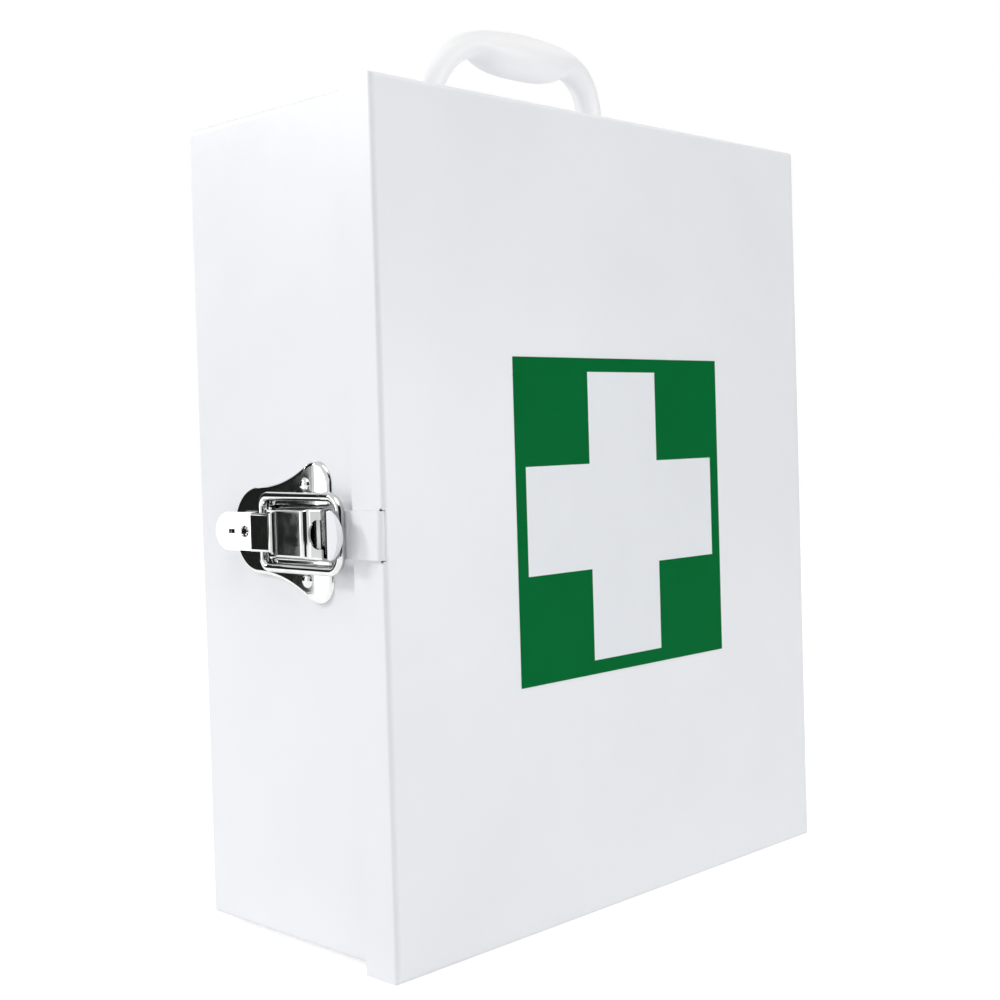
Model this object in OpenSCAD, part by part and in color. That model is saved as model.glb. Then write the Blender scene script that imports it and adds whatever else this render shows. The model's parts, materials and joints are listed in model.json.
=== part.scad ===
// Medicine cabinet in folded sheet steel: an open-fronted box, a flanged door on a piano hinge,
// a carrying handle on top and a lockable draw latch on the left side.
// The origin is the centre of the wall holes, on the back face. X is right, Y to the wall, Z up.

/* [Cabinet] */
// Width over the door
door_w = 305; // [260:1:400]
// Height over the door
door_h = 380; // [320:1:500]
// Depth from the door's face to the wall
depth = 136; // [125:1:200]
// Thickness of the sheet steel
sheet = 0.8; // [0.7:0.1:1.2]
// Outer radius of the door's bends
bend_r = 2.5; // [2:0.1:4]
// Outer radius of the box's four corners
wrap_r = 3; // [2:0.1:8]
// Depth of the hem folded back inside the box's front edge
hem_w = 8; // [5:0.5:12]
// Length of the back panel's welding flanges
pan_flange = 12; // [8:0.5:20]

/* [Door] */
// Depth of the door's flange, from its face
flange_d = 20.5; // [16:0.5:24]
// Gap between the door's flange and the box
door_gap = 2.2; // [2:0.1:3]
// Gap between the door's inner face and the box's front lips
front_gap = 2.7; // [2:0.1:5]

/* [Shelves] */
// Height of the upper shelf above the middle
upper_shelf_z = 62; // [45:1:90]
// Height of the lower shelf below the middle
lower_shelf_z = 58; // [45:1:90]
// Height of the shelves' front and side flanges
shelf_flange = 10; // [6:0.5:16]
// Distance from the shelves' front edge to the hem
shelf_inset = 2; // [1:0.5:20]

/* [Wall fixing] */
// Distance between the wall holes across the cabinet
wall_dx = 200; // [120:1:220]
// Distance between the wall holes up the cabinet
wall_dz = 260; // [160:1:280]
// Radius of the wall holes
wall_r = 3; // [2:0.1:5]

/* [Hinge] */
// Length of the piano hinge
hinge_len = 340; // [200:1:350]
// Number of knuckles
knuckles = 17; // [9:2:21]
// Outer radius of a knuckle
knuckle_r = 2; // [1.8:0.1:2.4]
// Radius of the hinge pin
hinge_pin_r = 1; // [0.8:0.1:1.2]
// Thickness of a hinge leaf
leaf_t = 0.8; // [0.6:0.1:0.9]
// Gap between one knuckle and the next
knuckle_gap = 0.3; // [0.2:0.1:0.6]

/* [Handle] */
// Distance of the handle's middle behind the door's face
handle_back = 68; // [50:1:80]
// Distance between the handle's feet
handle_span = 118; // [90:1:140]
// Height of the handle above the box
handle_h = 58; // [50:1:75]
// Radius of the handle's legs
leg_r = 7.3; // [6.5:0.1:9]
// Radius of a foot
foot_r = 8.4; // [7.5:0.1:11]
// Half of the grip's thickness
grip_t = 10.8; // [8:0.1:13]
// Half of the grip's depth, front to back
grip_d = 13.5; // [10:0.1:16]
// Radius of a handle screw's shank
screw_r = 2.5; // [2:0.1:3]
// Outer radius of a threaded insert
insert_r = 3.5; // [3.3:0.1:4.5]
// Length of a threaded insert
insert_len = 12; // [8:0.5:14]

/* [Latch] */
// Distance of the latch's middle below the cabinet's middle
latch_drop = 2; // [0:0.5:40]
// Distance of the lever's pivot behind the door's face
pivot_u = 70; // [66:0.5:80]
// Height of the lever's pivot above the box's side
pivot_rise = 7.6; // [7:0.1:9]
// Distance of the bail's eye behind the pivot
eye_back = 11.5; // [11:0.1:12.5]
// Height of the bail's eye above the box's side
eye_rise = 4.6; // [4.4:0.1:5]
// Radius of the bail's wire
wire_r = 2; // [1.6:0.1:2.1]
// Width over the bail
bail_w = 36; // [34:0.5:44]
// Radius of the lever's pin
lever_pin_r = 1.4; // [1:0.1:1.6]
// Thickness of the latch's pressed parts
press_t = 1; // [0.8:0.1:1.2]
// Width of the lever
lever_w = 17.4; // [14:0.1:18]
// Length of the lever from its pivot to the step
band_len = 17; // [16:0.1:20]
// Length of the lever's tab behind the step
tab_len = 28; // [26:0.5:36]
// Width over the bridge
bridge_w = 21; // [20.5:0.1:24]
// Radius of the round opening in the bridge's front panel
bridge_hole_r = 6.3; // [4:0.1:7.5]
// Thickness of the base plate
base_t = 1.2; // [0.8:0.1:1.4]
// Height over the base plate's two ears
base_h = 63; // [60:0.5:72]
// Distance between the two fixing rivets
rivet_pitch = 42; // [40:0.5:46]
// Radius of a rivet's shank
rivet_r = 1.6; // [1.2:0.1:2]
// Radius of a rivet's domed head
rivet_head_r = 2.8; // [2.4:0.1:3.2]

/* [Strike] */
// Width of the strike strap
strap_w = 20; // [14:0.5:24]
// Thickness of the strike strap
strap_t = 1; // [0.8:0.1:1.2]
// Distance of the hook's back wall behind the door's flange
hook_back = 8; // [7:0.1:9]
// Gap between the strap and the door's flange
strap_gap = 0.4; // [0.2:0.1:0.6]
// Depth of the step down to the hook's floor
strap_step = 0.7; // [0.4:0.1:1]
// Room inside the hook, from its floor to its lip
hook_room = 7.6; // [7.4:0.1:9]
// Reach of the hook's lip forward of its back wall
lip_reach = 11.1; // [10.5:0.1:11.3]
// Length of the strap's flange behind the door's face
strap_flange = 15; // [8:0.5:25]

/* [Lock] */
// Distance of the key post behind the lever's pivot
post_back = 22; // [21.5:0.1:24]
// Radius of the key post
post_r = 1.1; // [0.8:0.1:1.3]
// Radius of the keyhole's round part
keyhole_r = 2.6; // [2:0.1:3]
// Length of the keyhole's slot from the post's centre
slot_len = 13.5; // [8:0.1:14]
// Width of the keyhole's slot
slot_w = 2; // [1.2:0.1:2.4]
// Width over the lock case
case_w = 10.8; // [10:0.1:11.4]
// Thickness of the lock case's walls
case_t = 0.6; // [0.4:0.1:0.7]
// Reach of the cam's bolt from the post
bolt_reach = 7.6; // [7:0.1:8]

/* [Sign] */
// Side of the green square
sign_side = 150; // [100:1:180]
// Width of the green border beyond the ends of the cross
cross_margin = 6.5; // [3:0.5:15]
// Width of the cross's arms
cross_arm = 50; // [24:1:56]
// Thickness of the vinyl
vinyl_t = 0.25; // [0.1:0.05:0.4]
// Distance of the sign's centre right of the middle
sign_x = 0.8; // [-20:0.1:20]
// Distance of the sign's centre below the middle
sign_drop = 1.5; // [-40:0.1:40]

/* [Fits] */
// Radial clearance of a turning pin in its bore
run_fit = 0.05; // [0.03:0.01:0.1]
// Clearance between parts that pass close by
near_gap = 0.3; // [0.2:0.1:0.4]

/* [Hidden] */
$fn = 64;

// The box and the inside of its walls
box_w = door_w - 2 * (sheet + door_gap);
box_h = door_h - 2 * (sheet + door_gap);
box_d = depth - sheet - front_gap;
inner_w = box_w - 2 * sheet;
inner_h = box_h - 2 * sheet;
inner_r = max(wrap_r - sheet, 0.5);
hem_r = max(inner_r - sheet, 0.3);

// Shelves: the front edge, and the strip that clears the back panel's flanges
shelf_front = -box_d + hem_w + shelf_inset;
shelf_back = -pan_flange - sheet - near_gap;
shelf_clear = sheet + 0.2;

// The hinge pin stands beside the box, just behind the door's flange
hinge_x = box_w / 2 + knuckle_r + near_gap;
hinge_y = -depth + flange_d + knuckle_r + near_gap;
knuckle_pitch = hinge_len / knuckles;
leaf_front = -depth + sheet + bend_r;

// Handle: points on its centre line, each [distance from the middle, height above the box],
// set in from the screws and down from the top
grip_half = 26;
grip_end_in = 28;
grip_end_drop = 9.3;
shoulder_in = 6.7;
shoulder_drop = 16.6;
leg_top_in = 1.7;
leg_top_drop = 31;
grip_end = [handle_span / 2 - grip_end_in, handle_h - grip_end_drop];
shoulder = [handle_span / 2 - shoulder_in, handle_h - shoulder_drop];
leg_top = [handle_span / 2 - leg_top_in, handle_h - leg_top_drop];
foot_t = 2;
washer_t = 1;
washer_r = 6.2;
screw_head_r = 4.6;
screw_head_t = 3.2;

// Latch frame: u runs back from the door's face, h stands out from the door's flange
side_h = -(sheet + door_gap);
base_top = side_h + base_t;
pivot_h = side_h + pivot_rise;
eye_u = pivot_u + eye_back;
eye_h = side_h + eye_rise;
eye_bore_r = wire_r + 0.06;
eye_wall = 1.04;
curl_r = lever_pin_r + 1.2;
band_top = pivot_h + curl_r;
step_u = pivot_u + band_len;
tab_top = pivot_h - 0.6;
tab_under = tab_top - press_t;
tab_r = lever_w / 2;
cheek_v = lever_w / 2 - press_t;

// Bridge: a high panel over the lever's end, a step down and a lower panel near the hook
ear_r = 3.6;
ear_v = bridge_w / 2 - press_t;
high_rise = 4.4;
low_rise = 2.4;
high_gap = 9;
high_len = 15;
step_run = 4;
low_len = 7.7;
hole_back = 1.7;
high_top = pivot_h + high_rise;
low_top = pivot_h + low_rise;
high_back = pivot_u - high_gap;
high_front = high_back - high_len;
low_back = high_front - step_run;
low_front = low_back - low_len;

// Base plate: lower body, two ears and a rounded back lobe
base_reach = 32.5;
base_front = pivot_u - base_reach;
ear_disc_r = 10;
ear_u = base_front + ear_disc_r;
ear_top = base_h / 2;
lobe_r = 18;
lobe_back = 19;
lobe_u = pivot_u + lobe_back;
lobe_top = 20.2;
flank_r = 70;
rivet_ahead = 16.8;
rivet_u = pivot_u - rivet_ahead;
rivet_head_h = 1.6;

// Strike: the strap's centre line from its flange inside the door to the tip of its lip
face_u = sheet + strap_t / 2;
run_h = strap_gap + strap_t / 2;
floor_h = run_h - strap_step;
wall_u = flange_d + hook_back;
lip_h = floor_h + strap_t + hook_room;
lip_r = lip_reach - strap_t / 2 - 0.3;
strap_path = [
    [face_u, -strap_flange], [face_u, run_h], [flange_d - 0.9, run_h],
    [flange_d + 1.5, floor_h], [wall_u, floor_h], [wall_u, lip_h], [wall_u - lip_reach, lip_h]
];
slot_clear = 0.65;

// Bail: its front bar lies in the hook, a little off the floor and the back wall
bar_u = wall_u - strap_t / 2 - 0.6 - wire_r;
bar_h = floor_h + strap_t / 2 + 0.2 + wire_r;
bail_len = norm([eye_u - bar_u, bar_h - eye_h]);
bail_tilt = atan2(bar_h - eye_h, eye_u - bar_u);
front_bend_r = 7;
eye_bend_r = 4.5;
bail_half = bail_w / 2 - wire_r;

// Lock, hung under the lever's tab
post_u = pivot_u + post_back;
case_front = step_u + 0.8;
case_back = post_u + slot_len + 1.9;
case_floor = base_top + 0.6;
cam_foot = case_floor + case_t + 0.1;
cam_t = 1.2;
cam_hub_r = post_u - case_front - case_t - near_gap;
bolt_w = 3.2;
keeper_w = 4;
keeper_t = 0.75;
keeper_v = bolt_reach + 0.8;
tongue_h = cam_foot + cam_t + 0.25;

module rounded_rect(w, h, r) {
    square([w - 2 * r, h], center = true);
    square([w, h - 2 * r], center = true);
    for (x = [-1, 1], y = [-1, 1])
        translate([x * (w / 2 - r), y * (h / 2 - r)]) circle(r);
}

// A rectangle w wide and d deep, from y = 0, whose two front corners are rounded
module front_rounded(w, d, r) {
    translate([-w / 2, r]) square([w, d - r]);
    translate([-w / 2 + r, 0]) square([w - 2 * r, d]);
    for (x = [-1, 1]) translate([x * (w / 2 - r), r]) circle(r);
}

// A block whose four front edges are rounded, with its face at y = 0
module tray_block(w, h, d, r) {
    intersection() {
        translate([0, 0, -h / 2]) linear_extrude(h) front_rounded(w, d, r);
        translate([-w / 2, 0, 0]) rotate([90, 0, 90]) linear_extrude(w)
            rotate(-90) front_rounded(h, d, r);
    }
}

// Sheet metal drawn in the XZ plane, from y = back - t to y = back
module upright(t, back = 0) {
    translate([0, back, 0]) rotate([90, 0, 0]) linear_extrude(t) children();
}

// Latch space: x is u, z is h, and y runs down the cabinet
module at_latch() {
    translate([-door_w / 2, -depth, -latch_drop])
        rotate([-90, 0, 0]) rotate([0, -90, 0]) children();
}

// A profile drawn in u and h, w wide and centred at y = v
module across(w, v = 0) {
    translate([0, v, 0]) rotate([90, 0, 0]) linear_extrude(w, center = true) children();
}

// The outline of a strip t thick along a path, with mitred corners
function unit(v) = v / norm(v);
function left_of(v) = [-v[1], v[0]];
function side_at(p, i) =
    let (a = i > 0 ? left_of(unit(p[i] - p[i - 1])) : left_of(unit(p[1] - p[0])),
         b = i < len(p) - 1 ? left_of(unit(p[i + 1] - p[i])) : a)
    (a + b) / (1 + a * b);
function strip(p, t) = concat(
    [for (i = [0 : len(p) - 1]) p[i] + side_at(p, i) * t / 2],
    [for (i = [len(p) - 1 : -1 : 0]) p[i] - side_at(p, i) * t / 2]);

module cabinet_wrap() color("#f2f4f7") difference() {
    union() {
        upright(box_d) difference() {
            rounded_rect(box_w, box_h, wrap_r);
            rounded_rect(inner_w, inner_h, inner_r);
        }
        upright(hem_w, -box_d + hem_w) difference() {
            rounded_rect(inner_w, inner_h, inner_r);
            rounded_rect(inner_w - 2 * sheet, inner_h - 2 * sheet, hem_r);
        }
    }
    for (s = [-1, 1]) {
        handle_axis(s) translate([0, 0, -5]) cylinder(h = 10, r = screw_r + 0.25);
        rivet_axis(s) translate([0, 0, -5]) cylinder(h = 10, r = rivet_r + run_fit);
    }
}

module back_panel() color("#eef0f3") difference() {
    union() {
        upright(sheet) rounded_rect(inner_w, inner_h, inner_r);
        upright(pan_flange) difference() {
            rounded_rect(inner_w, inner_h, inner_r);
            rounded_rect(inner_w - 2 * sheet, inner_h - 2 * sheet, hem_r);
        }
    }
    for (x = [-1, 1], z = [-1, 1])
        translate([x * wall_dx / 2, 0, z * wall_dz / 2]) rotate([90, 0, 0])
            cylinder(h = 4 * sheet, r = wall_r, center = true);
}

// A welded shelf with its plate's top at z, a front flange and two side flanges turned down
module shelf(z) translate([0, 0, z]) {
    back_w = inner_w - 2 * shelf_clear;
    translate([-inner_w / 2, shelf_front, -sheet])
        cube([inner_w, shelf_back - shelf_front, sheet]);
    translate([-back_w / 2, shelf_front, -sheet]) cube([back_w, -sheet - shelf_front, sheet]);
    translate([-inner_w / 2, shelf_front, -shelf_flange]) cube([inner_w, sheet, shelf_flange]);
    for (x = [-inner_w / 2, inner_w / 2 - sheet])
        translate([x, shelf_front, -shelf_flange])
            cube([sheet, shelf_back - shelf_front, shelf_flange]);
}

module upper_shelf() color("#eef0f3") shelf(upper_shelf_z);
module lower_shelf() color("#eef0f3") shelf(-lower_shelf_z);

// Knuckles whose index leaves the given remainder when halved, as rings round the pin
module knuckle_set(odd) {
    for (i = [odd : 2 : knuckles - 1])
        translate([hinge_x, hinge_y, -hinge_len / 2 + i * knuckle_pitch + knuckle_gap / 2])
            cylinder(h = knuckle_pitch - knuckle_gap, r = knuckle_r);
}

// Clears the leaf beside every knuckle of the other leaf
module knuckle_notches(odd) {
    room = knuckle_r + near_gap;
    for (i = [odd : 2 : knuckles - 1])
        translate([hinge_x - room, hinge_y - room,
                   -hinge_len / 2 + i * knuckle_pitch - knuckle_gap / 2])
            cube([2 * room, 2 * room, knuckle_pitch + knuckle_gap]);
}

module hinge_bore() {
    translate([hinge_x, hinge_y, -hinge_len / 2 - 1])
        cylinder(h = hinge_len + 2, r = hinge_pin_r + run_fit);
}

module hinge_body_leaf() color("#e9ebee") difference() {
    union() {
        difference() {
            translate([box_w / 2, leaf_front, -hinge_len / 2])
                cube([leaf_t, hinge_y - leaf_front, hinge_len]);
            knuckle_notches(1);
        }
        knuckle_set(0);
    }
    hinge_bore();
}

module hinge_door_leaf() color("#e9ebee") difference() {
    leaf_x = door_w / 2 - sheet - leaf_t;
    union() {
        difference() {
            translate([leaf_x, leaf_front, -hinge_len / 2])
                cube([leaf_t, hinge_y - hinge_pin_r - near_gap - leaf_front, hinge_len]);
            knuckle_notches(0);
        }
        knuckle_set(1);
    }
    hinge_bore();
}

module hinge_pin() color("silver") {
    head_t = 1;
    translate([hinge_x, hinge_y, -hinge_len / 2 - head_t])
        cylinder(h = hinge_len + 2 * head_t, r = hinge_pin_r);
    for (z = [-hinge_len / 2 - head_t, hinge_len / 2])
        translate([hinge_x, hinge_y, z]) cylinder(h = head_t, r = hinge_pin_r + 0.6);
}

// The axis of a handle screw, from the box's top
module handle_axis(s) {
    translate([s * handle_span / 2, -depth + handle_back, box_h / 2]) children();
}

module handle() color("#f7f8fa") difference() {
    translate([0, -depth + handle_back, box_h / 2]) {
        hull($fn = 28) {
            translate([0, 0, handle_h - grip_t]) scale([grip_half, grip_d, grip_t]) sphere(1);
            for (s = [-1, 1]) translate([s * grip_end[0], 0, grip_end[1]]) sphere(leg_r);
        }
        for (s = [-1, 1]) {
            hull($fn = 28) {
                translate([s * grip_end[0], 0, grip_end[1]]) sphere(leg_r);
                translate([s * shoulder[0], 0, shoulder[1]]) sphere(leg_r);
            }
            hull($fn = 28) {
                translate([s * shoulder[0], 0, shoulder[1]]) sphere(leg_r);
                translate([s * leg_top[0], 0, leg_top[1]]) sphere(leg_r);
            }
            hull($fn = 28) {
                translate([s * leg_top[0], 0, leg_top[1]]) sphere(leg_r);
                translate([s * handle_span / 2, 0, 0]) cylinder(h = foot_t, r = foot_r);
            }
        }
    }
    for (s = [-1, 1]) handle_axis(s)
        translate([0, 0, -1]) cylinder(h = insert_len + 1.4, r = insert_r + run_fit);
}

module handle_inserts() color("#c9a227") {
    for (s = [-1, 1]) handle_axis(s) translate([0, 0, near_gap]) difference() {
        cylinder(h = insert_len, r = insert_r);
        translate([0, 0, -1]) cylinder(h = insert_len + 2, r = screw_r + run_fit);
    }
}

module handle_washers() color("silver") {
    for (s = [-1, 1]) handle_axis(s) translate([0, 0, -sheet - washer_t]) difference() {
        cylinder(h = washer_t, r = washer_r);
        translate([0, 0, -1]) cylinder(h = washer_t + 2, r = screw_r + 0.15);
    }
}

// Pan-headed screws driven up from inside the box, each with a cross recess
module handle_screws() color("silver") {
    for (s = [-1, 1]) handle_axis(s)
        translate([0, 0, -sheet - washer_t - screw_head_t]) difference() {
            union() {
                cylinder(h = screw_head_t, r = screw_head_r);
                cylinder(h = screw_head_t + washer_t + sheet + insert_len - 1, r = screw_r);
            }
            for (a = [0, 90]) rotate(a)
                translate([-screw_head_r / 2, -0.5, -1]) cube([screw_head_r, 1, 3]);
        }
}

// The axis of a latch rivet, from the box's side
module rivet_axis(s) at_latch() translate([rivet_u, s * rivet_pitch / 2, side_h]) children();

module base_outline() {
    intersection() {
        difference() {
            union() {
                translate([base_front, -lobe_top])
                    square([lobe_u - base_front, 2 * lobe_top]);
                translate([ear_u, -ear_top]) square([lobe_u - ear_u, 2 * ear_top]);
            }
            for (s = [-1, 1])
                translate([lobe_u, s * (lobe_top + flank_r)]) circle(flank_r, $fn = 128);
        }
        union() {
            translate([base_front, -ear_top]) square([2 * ear_disc_r, 2 * ear_top]);
            translate([ear_u, -ear_top]) square([lobe_u - ear_u, 2 * ear_top]);
        }
    }
    for (s = [-1, 1]) {
        translate([ear_u, s * (ear_top - ear_disc_r)]) circle(ear_disc_r);
        translate([lobe_u, s * (lobe_top - lobe_r)]) circle(lobe_r);
    }
    translate([lobe_u, -(lobe_top - lobe_r)]) square([lobe_r, 2 * (lobe_top - lobe_r)]);
}

module latch_base() color("#c4c8cc") difference() {
    at_latch() translate([0, 0, side_h]) linear_extrude(base_t) base_outline();
    for (s = [-1, 1]) rivet_axis(s)
        translate([0, 0, -1]) cylinder(h = base_t + 2, r = rivet_r + run_fit);
}

module latch_rivets() color("#d5d8db") {
    for (s = [-1, 1]) rivet_axis(s) {
        tail = sheet + 1;
        translate([0, 0, -tail]) cylinder(h = tail + base_t, r = rivet_r);
        translate([0, 0, -tail]) cylinder(h = 1, r = rivet_head_r - 0.4);
        dome_r = (rivet_head_r * rivet_head_r + rivet_head_h * rivet_head_h) / (2 * rivet_head_h);
        translate([0, 0, base_t]) intersection() {
            cylinder(h = rivet_head_h, r = rivet_head_r);
            translate([0, 0, rivet_head_h - dome_r]) sphere(dome_r);
        }
    }
}

// The raised bridge: two side walls with ears for the pin, a high panel, a step and a low panel
module latch_bridge() color("#b9bdc2") at_latch() difference() {
    union() {
        for (s = [-1, 1]) across(press_t, s * (ear_v + press_t / 2)) {
            polygon([
                [low_front, base_top], [low_front, low_top], [low_back, low_top],
                [high_front, high_top], [high_back, high_top], [pivot_u + press_t, pivot_h + ear_r - 0.6],
                [pivot_u + ear_r, pivot_h], [pivot_u + ear_r, base_top]
            ]);
            translate([pivot_u, pivot_h]) circle(ear_r);
        }
        across(bridge_w) polygon(strip([
            [low_front, low_top - press_t / 2], [low_back, low_top - press_t / 2],
            [high_front, high_top - press_t / 2], [high_back, high_top - press_t / 2]
        ], press_t));
    }
    translate([low_front + hole_back, 0, low_top - 2 * press_t])
        cylinder(h = 3 * press_t, r = bridge_hole_r);
    across(bridge_w + 2) translate([pivot_u, pivot_h]) circle(lever_pin_r + run_fit);
}

// The lever's pin, peened over outside the bridge's ears
module lever_pin() color("#d5d8db") at_latch() {
    head_t = 0.8;
    across(bridge_w + 2 * head_t) translate([pivot_u, pivot_h]) circle(lever_pin_r);
    for (s = [-1, 1]) across(head_t, s * (bridge_w + head_t) / 2)
        translate([pivot_u, pivot_h]) circle(lever_pin_r + 0.7);
}

module keyhole() {
    translate([post_u, 0]) {
        circle(keyhole_r);
        translate([0, -slot_w / 2]) square([slot_len, slot_w]);
    }
}

// The lever: a raised band over the bail's bar, two cheeks and a round-ended tab with a keyhole
module latch_lever() color("#c9cdd1") at_latch() difference() {
    union() {
        translate([pivot_u, -lever_w / 2, band_top - press_t])
            cube([band_len, lever_w, press_t]);
        translate([step_u - press_t, -lever_w / 2, tab_under])
            cube([press_t, lever_w, band_top - tab_under]);
        translate([0, 0, tab_under]) linear_extrude(press_t) {
            translate([step_u - press_t, -tab_r])
                square([tab_len - tab_r + press_t, 2 * tab_r]);
            translate([step_u + tab_len - tab_r, 0]) circle(tab_r);
        }
        for (s = [-1, 1]) across(press_t, s * (cheek_v + press_t / 2)) {
            eye_r = eye_bore_r + eye_wall;
            tangent = 0.7 * eye_r;
            polygon([
                [pivot_u, band_top], [step_u, band_top], [step_u, tab_under],
                [eye_u + tangent, eye_h - tangent], [eye_u - tangent, eye_h - tangent],
                [pivot_u, pivot_h - curl_r]
            ]);
            translate([pivot_u, pivot_h]) circle(curl_r);
            translate([eye_u, eye_h]) circle(eye_r);
        }
        across(lever_w) translate([pivot_u, pivot_h]) circle(curl_r);
    }
    across(lever_w + 2) translate([pivot_u, pivot_h]) circle(lever_pin_r + run_fit);
    across(lever_w + 2) translate([eye_u, eye_h]) circle(eye_bore_r);
    translate([0, 0, tab_under - 1]) linear_extrude(press_t + 2) keyhole();
}

// A quarter turn of the bail's wire, bent at radius r round the z axis
module wire_bend(r) {
    rotate_extrude(angle = 90) translate([r, 0]) circle(wire_r, $fn = 32);
}

// The bail: a closed ring of wire from the lever's eye to the hook
module bail_ring() color("#ccd0d4") at_latch()
    translate([eye_u, 0, eye_h]) rotate([0, bail_tilt, 0]) {
        long = bail_len - front_bend_r - eye_bend_r;
        for (s = [-1, 1]) {
            translate([-eye_bend_r, s * bail_half, 0]) rotate([0, -90, 0])
                cylinder(h = long, r = wire_r, $fn = 32);
            mirror([0, s < 0 ? 1 : 0, 0]) {
                translate([-eye_bend_r, bail_half - eye_bend_r, 0]) wire_bend(eye_bend_r);
                translate([-bail_len + front_bend_r, bail_half - front_bend_r, 0])
                    rotate(90) wire_bend(front_bend_r);
            }
        }
        for (end = [[0, eye_bend_r], [-bail_len, front_bend_r]])
            translate([end[0], 0, 0]) rotate([90, 0, 0])
                cylinder(h = 2 * (bail_half - end[1]), r = wire_r, center = true, $fn = 32);
    }

// The lock case: an open-topped tray under the tab, cut away where the cam's bolt comes out
module lock_case() color("#a9adb2") at_latch() difference() {
    translate([case_front, -case_w / 2, case_floor])
        cube([case_back - case_front, case_w, tab_under - case_floor]);
    translate([case_front + case_t, -case_w / 2 + case_t, case_floor + case_t])
        cube([case_back - case_front - 2 * case_t, case_w - 2 * case_t, tab_under - case_floor]);
    translate([case_front + case_t, 0, case_floor + case_t])
        cube([bolt_reach + 3.5, case_w, cam_t + 1.2]);
}

module lock_post() color("#d5d8db") at_latch() translate([post_u, 0, case_floor + case_t])
    cylinder(h = tab_top - case_floor - case_t, r = post_r);

// The cam: a slotted hub that the key turns, and a bolt that swings under the keeper
module lock_cam() color("#c9a227") at_latch() translate([post_u, 0, cam_foot]) difference() {
    union() {
        cylinder(h = tab_under - near_gap - cam_foot, r = cam_hub_r);
        translate([0, -bolt_w / 2, 0]) cube([bolt_reach - bolt_w / 2, bolt_w, cam_t]);
        translate([bolt_reach - bolt_w / 2, 0, 0]) cylinder(h = cam_t, r = bolt_w / 2);
    }
    translate([0, 0, -1]) cylinder(h = 10, r = post_r + run_fit);
    translate([0, -slot_w / 2, cam_t]) cube([cam_hub_r + 1, slot_w, 10]);
}

// The keeper: a foot on the base plate, a riser and a tongue that lies over the turned bolt
module lock_keeper() color("#b9bdc2") at_latch() translate([post_u - keeper_w / 2, 0, 0]) {
    translate([0, keeper_v, base_top]) cube([keeper_w, 4, keeper_t]);
    translate([0, keeper_v, base_top]) cube([keeper_w, keeper_t, tongue_h + keeper_t - base_top]);
    translate([0, case_w / 2 + 0.5, tongue_h])
        cube([keeper_w, keeper_v - case_w / 2 - 0.5, keeper_t]);
}

// The door: a tray with its flange round the box, slotted at the left bend for the strap
module door_pan() color("#f2f4f7") difference() {
    translate([0, -depth, 0]) difference() {
        tray_block(door_w, door_h, flange_d, bend_r);
        translate([0, sheet, 0])
            tray_block(door_w - 2 * sheet, door_h - 2 * sheet, flange_d, bend_r - sheet);
    }
    at_latch() {
        slot_v = strap_w / 2 + slot_clear;
        across(2 * slot_v) polygon([
            [sheet, -bend_r], [sheet, -bend_r / 2], [sheet - 0.3, -1], [sheet - 0.3, 1],
            [sheet + strap_t + 0.3, 1], [sheet + strap_t + 0.3, -bend_r]
        ]);
        for (s = [-1, 1]) translate([sheet + strap_t / 2 + 0.9, s * slot_v, -2 * sheet])
            cylinder(h = 4 * sheet, r = 0.8);
    }
}

// The strike strap: welded behind the door's face, out through the slot and back to the hook
module strike_strap() color("#eef0f3") at_latch() intersection() {
    across(strap_w + 2) polygon(strip(strap_path, strap_t));
    union() {
        translate([0, -strap_w / 2, -strap_flange - 1])
            cube([wall_u - lip_reach - 1, strap_w, strap_flange + run_h + strap_t]);
        translate([0, -strap_w / 2, -2]) cube([wall_u + strap_t, strap_w, 2 + run_h + strap_t]);
        translate([wall_u - 0.3, 0, -2]) linear_extrude(lip_h + strap_t + 2) {
            circle(lip_r);
            translate([0, -lip_r]) square([strap_t + 1, 2 * lip_r]);
        }
    }
}

module sign_at() translate([sign_x, -depth, -sign_drop]) upright(vinyl_t) children();

module cross_outline() {
    cross_len = sign_side - 2 * cross_margin;
    square([cross_len, cross_arm], center = true);
    square([cross_arm, cross_len], center = true);
}

module sign_field() color("#1f8a55") sign_at() difference() {
    square(sign_side, center = true);
    cross_outline();
}

module sign_cross() color("#f5f7fa") sign_at() cross_outline();

cabinet_wrap();
back_panel();
upper_shelf();
lower_shelf();
hinge_body_leaf();
hinge_door_leaf();
hinge_pin();
handle();
handle_inserts();
handle_screws();
handle_washers();
latch_base();
latch_bridge();
latch_rivets();
lever_pin();
latch_lever();
bail_ring();
lock_case();
lock_post();
lock_cam();
lock_keeper();
door_pan();
strike_strap();
sign_field();
sign_cross();
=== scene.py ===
# Lockable medicine cabinet: powder coated sheet steel, a moulded handle and a chromed draw latch.
# Pieces are modelled in millimetres, and putting one in place turns it to metres.
import json
from math import pi, radians, cos, sin

import bmesh
import bpy
from mathutils import Euler, Matrix, Vector


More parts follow.
